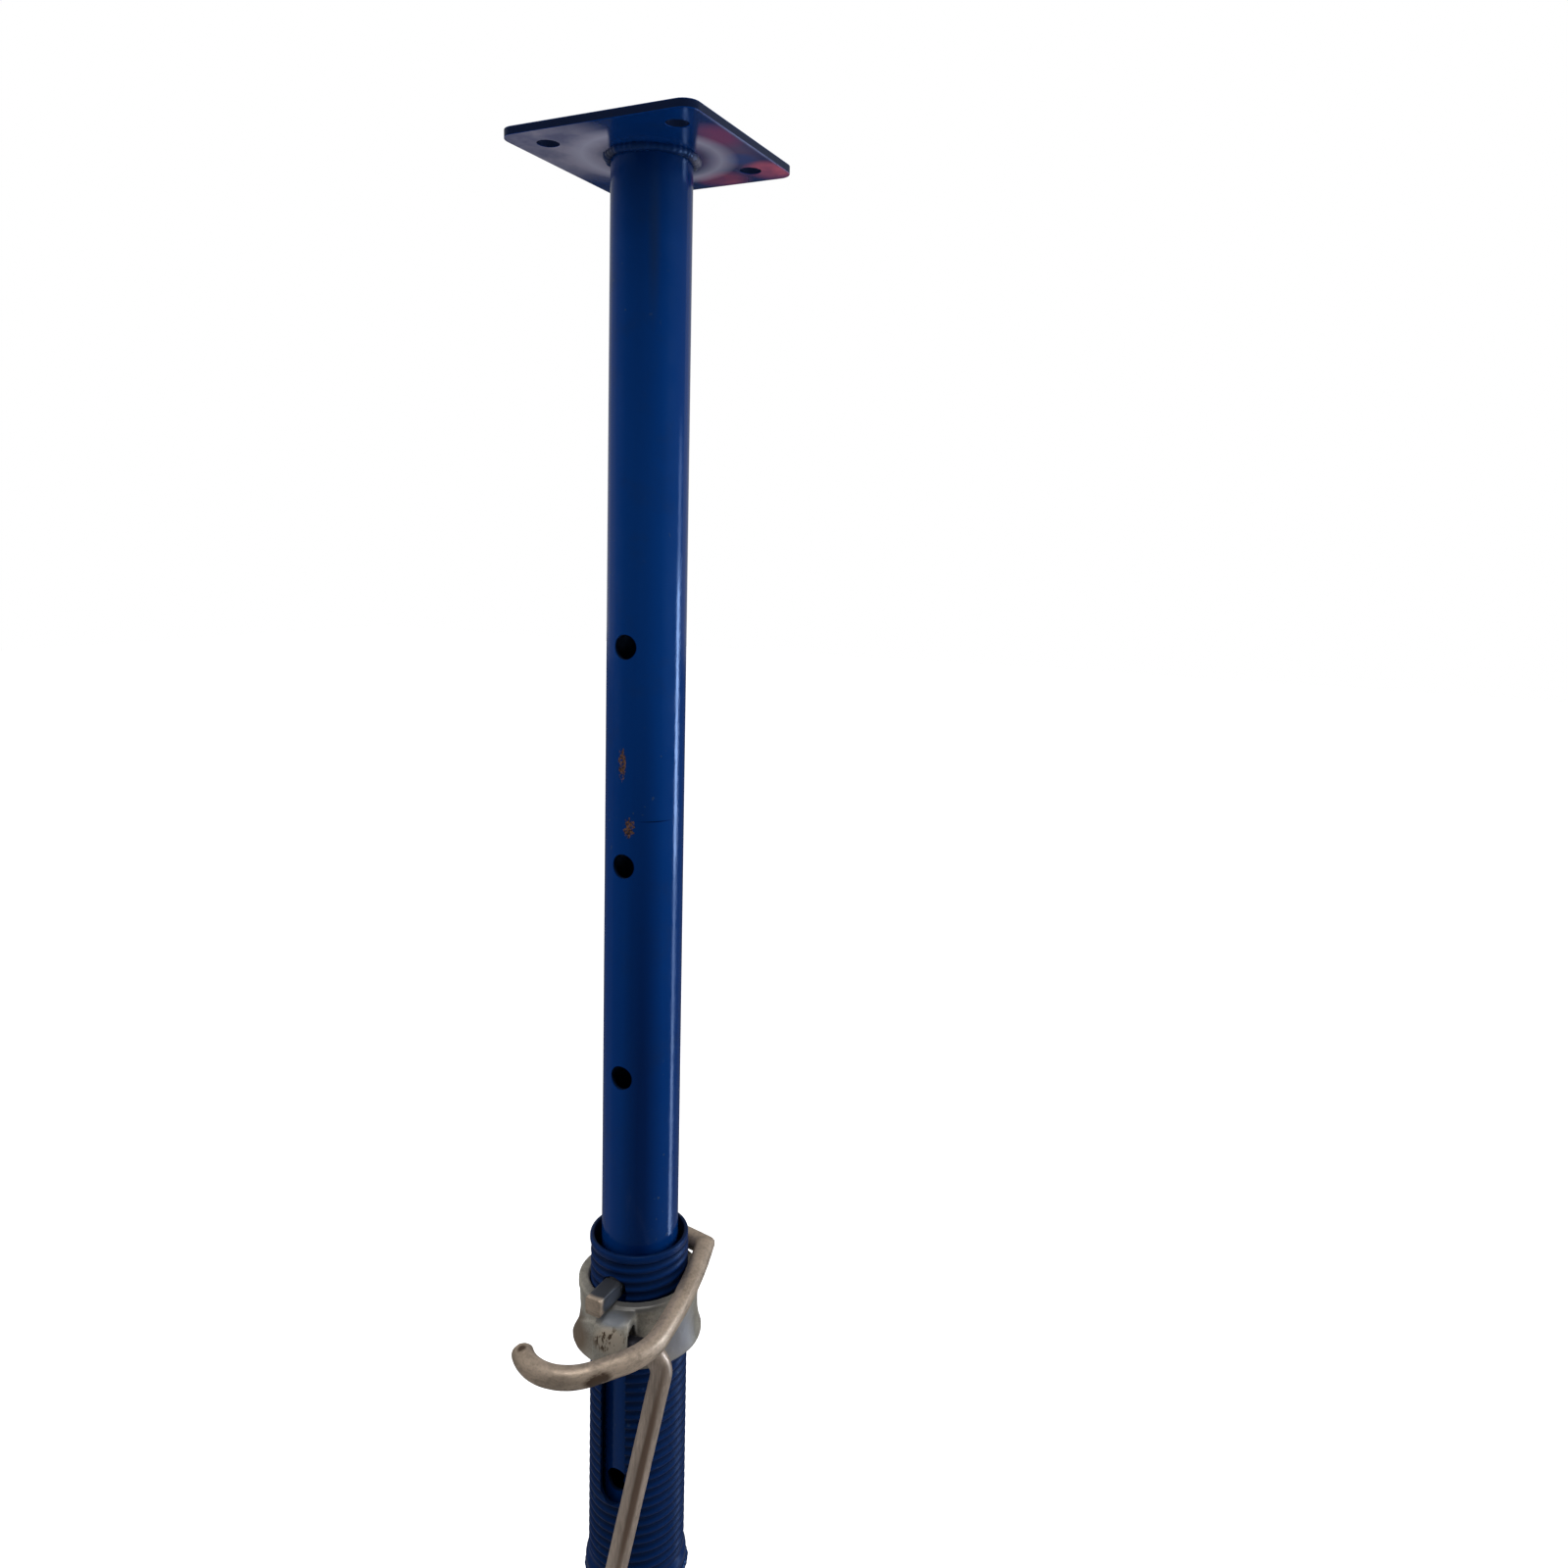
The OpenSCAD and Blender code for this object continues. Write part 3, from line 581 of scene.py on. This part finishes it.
def threaded_sleeve():
    """The sleeve: a true right-hand helix, a rolled lip, the bell, the bore and two slots."""
    sleeve = start("plane", size=0.001)
    work_on(sleeve)
    bpy.ops.mesh.select_all(action="SELECT")
    bpy.ops.mesh.merge(type="CENTER")
    bpy.ops.transform.translate(value=(THREAD_ROOT, 0, THREAD_START))
    at_height, at_radius = 0, 0
    for height, radius in RIDGE:
        step = ((radius - at_radius) * THREAD_DEPTH, 0, (height - at_height) * THREAD_PITCH)
        bpy.ops.mesh.extrude_region_move(TRANSFORM_OT_translate={"value": step})
        at_height, at_radius = height, radius
    turns = math.ceil((SLEEVE_HIGH.z - THREAD_START) / THREAD_PITCH) + 1
    use(sleeve, "SCREW", axis="Z", angle=math.tau, screw_offset=THREAD_PITCH, iterations=turns,
        steps=STEPS_A_TURN, render_steps=STEPS_A_TURN, use_merge_vertices=True, merge_threshold=1e-6)
    close_up(sleeve, SAME_HEIGHT)
    work_on(sleeve, "EDGE")
    cut_off(THREAD_FOOT, above=False)
    cut_off(THREAD_TOP, above=True)
    pick_borders(sleeve, THREAD_TOP)
    for radius, below_rim in LIP:
        next_ring(sleeve, radius, SLEEVE_HIGH.z - below_rim)
    pick_borders(sleeve, THREAD_FOOT)
    for radius, above_foot in BELL:
        next_ring(sleeve, radius, SLEEVE_LOW.z + above_foot)
    pick_borders(sleeve, SLEEVE_HIGH.z - LIP[-1][1], SLEEVE_LOW.z + BELL[-1][1])
    bpy.ops.mesh.bridge_edge_loops()
    close_up(sleeve)
    cutter = start("cylinder", vertices=40, radius=SLOT_HALF, depth=0.1,
                   location=(0, 0, SLOT_FOOT + SLOT_HALF), rotation=(math.pi / 2, 0, 0))
    fix_place(cutter)
    work_on(cutter)
    pick(cutter, lambda co, normal: co.z > SLOT_FOOT + SLOT_HALF + 1e-5)
    bpy.ops.transform.translate(value=(0, 0, SLOT_TOP - SLOT_FOOT - 2 * SLOT_HALF))
    bpy.ops.object.mode_set(mode="OBJECT")
    use(sleeve, "BOOLEAN", object=cutter, operation="DIFFERENCE", solver="EXACT")
    bpy.data.objects.remove(cutter)
    smooth(sleeve, 40)
    return sleeve


fit(threaded_sleeve(), "threaded_sleeve", "outer", sleeve_blue, ["thread_sleeve"])


# ---------------------------------------------------------------- nut, handle and pin
PIN_R = 0.00625
# the pin's sharp outer corner behind the sleeve: where it is, and the runs that meet there
PIN_CORNER = (0.02852, 0.03385)
PIN_RUNS = (100.6, 161.1)
RUN_HALF = 0.02
# its square tip: the end face's place, the width, the length, and how far the tip hangs down
PIN_TIP = -0.052
PIN_SQUARE = 0.0109
PIN_SQUARE_LEN = 0.0245
PIN_TIP_DROP = 0.0008
# the solid's own tip faces lie between these
TIP_ZONE = (PIN_TIP - 0.001, PIN_TIP + PIN_SQUARE_LEN - 0.002)
TIP_ZONE_HALF = 0.008
TIP_SIDE_BEVEL, TIP_END_BEVEL = 0.0013, 0.0006
# where the hook's end is sawn off, and the way that it points there
HOOK_END = (-0.0115, -0.1039)
HOOK_HEADING = math.radians(133)
SAW_HALF = 0.011


def add_to(piece, others):
    """Joins other pieces to this one."""
    only(piece)
    for other in others:
        other.select_set(True)
    bpy.ops.object.join()


def take_shape(node):
    """A piece that starts from a solid's own shape, with its loose triangles joined."""
    piece = bpy.data.objects.new(node + "_shape", prop_nodes[node].data.copy())
    bpy.context.scene.collection.objects.link(piece)
    close_up(piece)
    return piece


def clay(piece, grain, soften):
    """Turns a piece into an even skin that can be worn, dented and rounded."""
    use(piece, "REMESH", mode="VOXEL", voxel_size=grain)
    use(piece, "SMOOTH", factor=0.5, iterations=soften)


def wear(piece, name, size, depth, detail):
    """Presses an uneven surface into a piece, mostly inwards."""
    pattern = bpy.data.textures.new(name, "CLOUDS")
    pattern.noise_scale = size
    pattern.noise_depth = detail
    use(piece, "DISPLACE", texture=pattern, strength=depth, mid_level=0.7, texture_coords="LOCAL")


def cast_nut():
    """The nut as cast: edges rounded by the mould, a sandy skin and shallow dents."""
    nut = take_shape("prop_nut")
    clay(nut, grain=0.0006, soften=3)
    wear(nut, "cast_waves", size=0.011, depth=0.00040, detail=1)
    wear(nut, "cast_sand", size=0.0032, depth=0.00020, detail=2)
    smooth(nut, 60)
    return nut


def worn_bar(bar, name, waves):
    """Gives a bent bar a little unevenness along it."""
    clay(bar, grain=0.00055, soften=3)
    wear(bar, name + "_waves", size=0.014, depth=waves, detail=1)
    wear(bar, name + "_skin", size=0.0028, depth=0.00012, detail=2)
    smooth(bar, 60)
    return bar


def bar_along(middle, clockwise, half_length):
    """A round bar lying level, its direction given clockwise from +Y."""
    turn = math.radians(90 - clockwise)
    bar = start("cylinder", vertices=64, radius=PIN_R, depth=2 * half_length, location=(*middle, PIN_Z),
                rotation=(0, math.pi / 2, turn))
    fix_place(bar)
    return bar


def cut_tip(bar):
    """Takes the plain square tip off the pin's bar and closes its end."""
    work_on(bar, "FACE")
    pick(bar, lambda co, normal: abs(co.x) < TIP_ZONE_HALF and TIP_ZONE[0] < co.y < TIP_ZONE[1])
    bpy.ops.mesh.delete(type="FACE")
    bpy.ops.mesh.select_mode(type="EDGE")
    mesh = bmesh.from_edit_mesh(bar.data)
    for edge in mesh.edges:
        if edge.is_boundary:
            edge.select_set(True)
    bmesh.update_edit_mesh(bar.data)
    bpy.ops.mesh.edge_face_add()
    bpy.ops.object.mode_set(mode="OBJECT")


def trim_hook(bar):
    """Saws the hook's end off square, as the real bar was."""
    way = Vector((math.cos(HOOK_HEADING), math.sin(HOOK_HEADING), 0))
    saw = start("cube", size=2 * SAW_HALF, location=Vector((*HOOK_END, PIN_Z)) + SAW_HALF * way,
                rotation=(0, 0, HOOK_HEADING))
    fix_place(saw)
    use(bar, "BOOLEAN", object=saw, operation="DIFFERENCE", solver="EXACT")
    bpy.data.objects.remove(saw)


def worn_pin():
    """The G pin: a worn bent bar with a mitred corner and a forged square tip."""
    mitre = bar_along(PIN_CORNER, PIN_RUNS[0], RUN_HALF)
    crossing = bar_along(PIN_CORNER, PIN_RUNS[1], RUN_HALF)
    use(mitre, "BOOLEAN", object=crossing, operation="INTERSECT", solver="EXACT")
    bpy.data.objects.remove(crossing)
    pin = take_shape("g_pin")
    cut_tip(pin)
    trim_hook(pin)
    add_to(pin, [mitre])
    worn_bar(pin, "g_pin", waves=0.00025)
    tip = start("cube", size=1, location=(0, PIN_TIP + PIN_SQUARE_LEN / 2, PIN_Z - PIN_TIP_DROP))
    tip.scale = (PIN_SQUARE, PIN_SQUARE_LEN, PIN_SQUARE)
    fix_place(tip)
    work_on(tip, "EDGE")
    pick(tip, lambda co, run: abs(run.y) > 0.9)
    bpy.ops.mesh.bevel(offset=TIP_SIDE_BEVEL, segments=2, affect="EDGES")
    bpy.ops.mesh.select_mode(type="FACE")
    pick(tip, lambda co, normal: normal.y < -0.9)
    bpy.ops.mesh.bevel(offset=TIP_END_BEVEL, segments=2, affect="EDGES")
    bpy.ops.mesh.select_all(action="SELECT")
    bpy.ops.mesh.subdivide(number_cuts=9)
    bpy.ops.object.mode_set(mode="OBJECT")
    wear(tip, "tip_dents", size=0.006, depth=0.00025, detail=1)
    add_to(pin, [tip])
    smooth(pin, 40)
    return pin


fit(cast_nut(), "cast_nut", "nut", cast_zinc, ["prop_nut"])
fit(worn_bar(take_shape("nut_handle"), "nut_handle", waves=0.0002), "handle_bar", "handle", handle_zinc,
    ["nut_handle"])
fit(worn_pin(), "locking_pin", "pin", pin_zinc, ["g_pin"])


# ---------------------------------------------------------------- welds
# a ripple's radius as a share of the weld's leg, and its width as a share of its room
RIPPLE_R = 0.62
RIPPLE_WIDTH = 0.85


def bead(radius, height, leg, count, seed, up, heavy):
    """A weld bead: overlapping ripples laid side by side round a tube, above or below this height,
    melted into one skin, and heavier round the angle where the pass was started."""
    chance = random.Random(seed)
    ripples = []
    for index in range(count):
        angle = math.tau * index / count
        reach = radius + leg * chance.uniform(0.16, 0.26)
        rise = up * leg * chance.uniform(0.14, 0.24)
        drop = start("uv_sphere", segments=16, ring_count=10, radius=leg * RIPPLE_R,
                     location=(reach * math.cos(angle), reach * math.sin(angle), height + rise),
                     rotation=(0, 0, angle))
        size = chance.uniform(0.80, 1.0) + (0.22 if abs(angle - heavy) < 0.3 else 0)
        drop.scale = (size, RIPPLE_WIDTH * radius * math.tau / count / (leg * RIPPLE_R), size)
        ripples.append(drop)
    only(ripples[0])
    for drop in ripples:
        drop.select_set(True)
    bpy.ops.object.join()
    weld = bpy.context.active_object
    fix_place(weld)
    clay(weld, grain=0.0006, soften=16)
    smooth(weld, 60)
    return weld


fit(bead(INNER_R, PLATE_LOW.z, leg=0.0055, count=44, seed=3, up=-1, heavy=0.35),
    "head_bead", "inner", weld_blue, ["head_weld"])
fit(bead(OUTER_R, FOOT_HIGH.z, leg=0.0055, count=56, seed=5, up=1, heavy=4.1),
    "foot_bead", "outer", weld_blue, ["base_weld"])
fit(bead(OUTER_R, SLEEVE_LOW.z - 0.0004, leg=0.0044, count=54, seed=7, up=-1, heavy=0.3),
    "sleeve_bead", "outer", weld_blue, ["sleeve_weld"])


# ---------------------------------------------------------------- end plates
PLATE_CORNER_R = 0.009
PLATE_EDGE_R = 0.0007
BOLT_HOLE_R = 0.0065
BOLT_PLACE = 0.0425


def end_plate(low, high):
    """A steel plate with round corners, softened edges and four drilled holes."""
    middle = (low + high) / 2
    plate = start("cube", size=1, location=middle)
    plate.scale = high - low
    fix_place(plate)
    work_on(plate, "EDGE")
    pick(plate, lambda co, run: abs(run.z) > 0.9)
    bpy.ops.mesh.bevel(offset=PLATE_CORNER_R, segments=8, affect="EDGES")
    bpy.ops.object.mode_set(mode="OBJECT")
    for x in (-1, 1):
        for y in (-1, 1):
            drill = start("cylinder", vertices=48, radius=BOLT_HOLE_R, depth=0.02,
                          location=(x * BOLT_PLACE, y * BOLT_PLACE, middle.z))
            use(plate, "BOOLEAN", object=drill, operation="DIFFERENCE", solver="EXACT")
            bpy.data.objects.remove(drill)
    use(plate, "BEVEL", width=PLATE_EDGE_R, segments=3, limit_method="ANGLE", angle_limit=math.radians(50))
    smooth(plate, 40)
    use(plate, "WEIGHTED_NORMAL", keep_sharp=True)
    return plate


fit(end_plate(PLATE_LOW, PLATE_HIGH), "head_flange", "inner", head_blue,
    ["head_plate"])
fit(end_plate(FOOT_LOW, FOOT_HIGH), "foot_flange", "outer", plate_blue,
    ["base_plate"])


# ---------------------------------------------------------------- studio
LAMP_AIM = (0, 0, 1.2)
# a narrow window, brighter above, that the paint mirrors as one upright line:
# name, height, length, watts
STRIPS = [("right_strip_head", 1.5525, 0.195, 0.2), ("right_strip", 1.25, 0.41, 2.3),
          ("right_strip_foot", 0.67, 0.75, 1.2)]
STRIP_PLACE = (0.755, 0.656)
STRIP_WIDTH = 0.13
STRIP_COLOUR = (0.75, 0.86, 1)
# how far from the prop and how brightly the floor shows, near it and away from it, and how pale
# the floor is in itself and mirrored in the paint
FLOOR_NEAR, FLOOR_AWAY = (0.25, 0.35), (0.85, 1.0)
FLOOR_PALE, FLOOR_MIRRORED = 0.9, 0.25
# the room lights the prop at this strength; the paint mirrors a darker room in front of the
# prop, and a paler backdrop behind it, in this direction
ROOM_COLOUR, ROOM_STRENGTH = (0.93, 0.96, 1, 1), 0.2
BACKDROP_WAY = (-0.432, 0.902, 0)
WHITE = (1, 1, 1, 1)


def area_lamp(name, place, aim, width, height, watts, mirrored, colour=(1, 1, 1)):
    """A flat lamp that the camera doesn't see and that the prop may mirror."""
    lamp_data = bpy.data.lights.new(name, "AREA")
    lamp_data.shape = "RECTANGLE"
    lamp_data.size = width
    lamp_data.size_y = height
    lamp_data.energy = watts
    lamp_data.color = colour
    lamp = bpy.data.objects.new(name, lamp_data)
    lamp.location = place
    lamp.rotation_euler = (Vector(aim) - Vector(place)).to_track_quat("-Z", "Y").to_euler()
    lamp.visible_camera = False
    lamp.visible_glossy = mirrored
    bpy.context.scene.collection.objects.link(lamp)
    return lamp


for name, height, tall, watts in STRIPS:
    strip = area_lamp(name, (*STRIP_PLACE, height), (0, 0, height), STRIP_WIDTH, tall, watts,
                      mirrored=True, colour=STRIP_COLOUR)
    strip.visible_diffuse = False
area_lamp("overhead", (0.25, -0.45, 2.9), (0, 0, 1.0), width=0.9, height=0.9, watts=12, mirrored=True)
area_lamp("right_window", (1.7, 0.35, 1.7), LAMP_AIM, width=1.2, height=1.6, watts=26, mirrored=False)
area_lamp("left_window", (-1.55, -0.85, 1.7), LAMP_AIM, width=1.0, height=1.6, watts=19, mirrored=False)

floor = start("plane", size=30, location=(0, 0, 0))
floor.name = "studio_floor"
ground = Finish("pale_floor")
seen_by = ground.node("LightPath").outputs
dull = ground.level(seen_by["Is Glossy Ray"], 0, 1, FLOOR_PALE, FLOOR_MIRRORED)
# the floor pales to the backdrop's white away from the prop, and keeps its shadow near it
pale = ground.level(ground.length(ground.place), FLOOR_NEAR[0], FLOOR_AWAY[0], FLOOR_NEAR[1],
                    FLOOR_AWAY[1])
ground.join(ground.times(seen_by["Is Camera Ray"], pale), ground.surface.inputs["Emission Strength"])
floor.data.materials.append(ground.finish(dull, 0.9, Specular_IOR_Level=0.1, Emission_Color=WHITE))

world = bpy.data.worlds.new("studio")
bpy.context.scene.world = world
world.use_nodes = True
sky = Wiring(world.node_tree)
sky.tree.nodes.clear()
seen_by = sky.node("LightPath").outputs
room = sky.node("Background")
room.inputs["Color"].default_value = ROOM_COLOUR
room.inputs["Strength"].default_value = ROOM_STRENGTH
toward = sky.node("VectorMath", operation="DOT_PRODUCT")
toward.inputs[1].default_value = BACKDROP_WAY
sky.join(sky.node("TexCoord").outputs["Generated"], toward.inputs[0])
mirrored = sky.level(toward.outputs["Value"], -0.2, 1.0, 0.06, 0.38)
mirrored = sky.times(seen_by["Is Glossy Ray"], mirrored)
backdrop = sky.node("Background")
backdrop.inputs["Color"].default_value = WHITE
sky.join(sky.combine("MAXIMUM", seen_by["Is Camera Ray"], mirrored), backdrop.inputs["Strength"])
choose = sky.node("MixShader")
sky.join(sky.combine("MAXIMUM", seen_by["Is Camera Ray"], seen_by["Is Glossy Ray"]), choose.inputs[0])
sky.join(room.outputs["Background"], choose.inputs[1])
sky.join(backdrop.outputs["Background"], choose.inputs[2])
sky.join(choose.outputs["Shader"], sky.node("OutputWorld").inputs["Surface"])
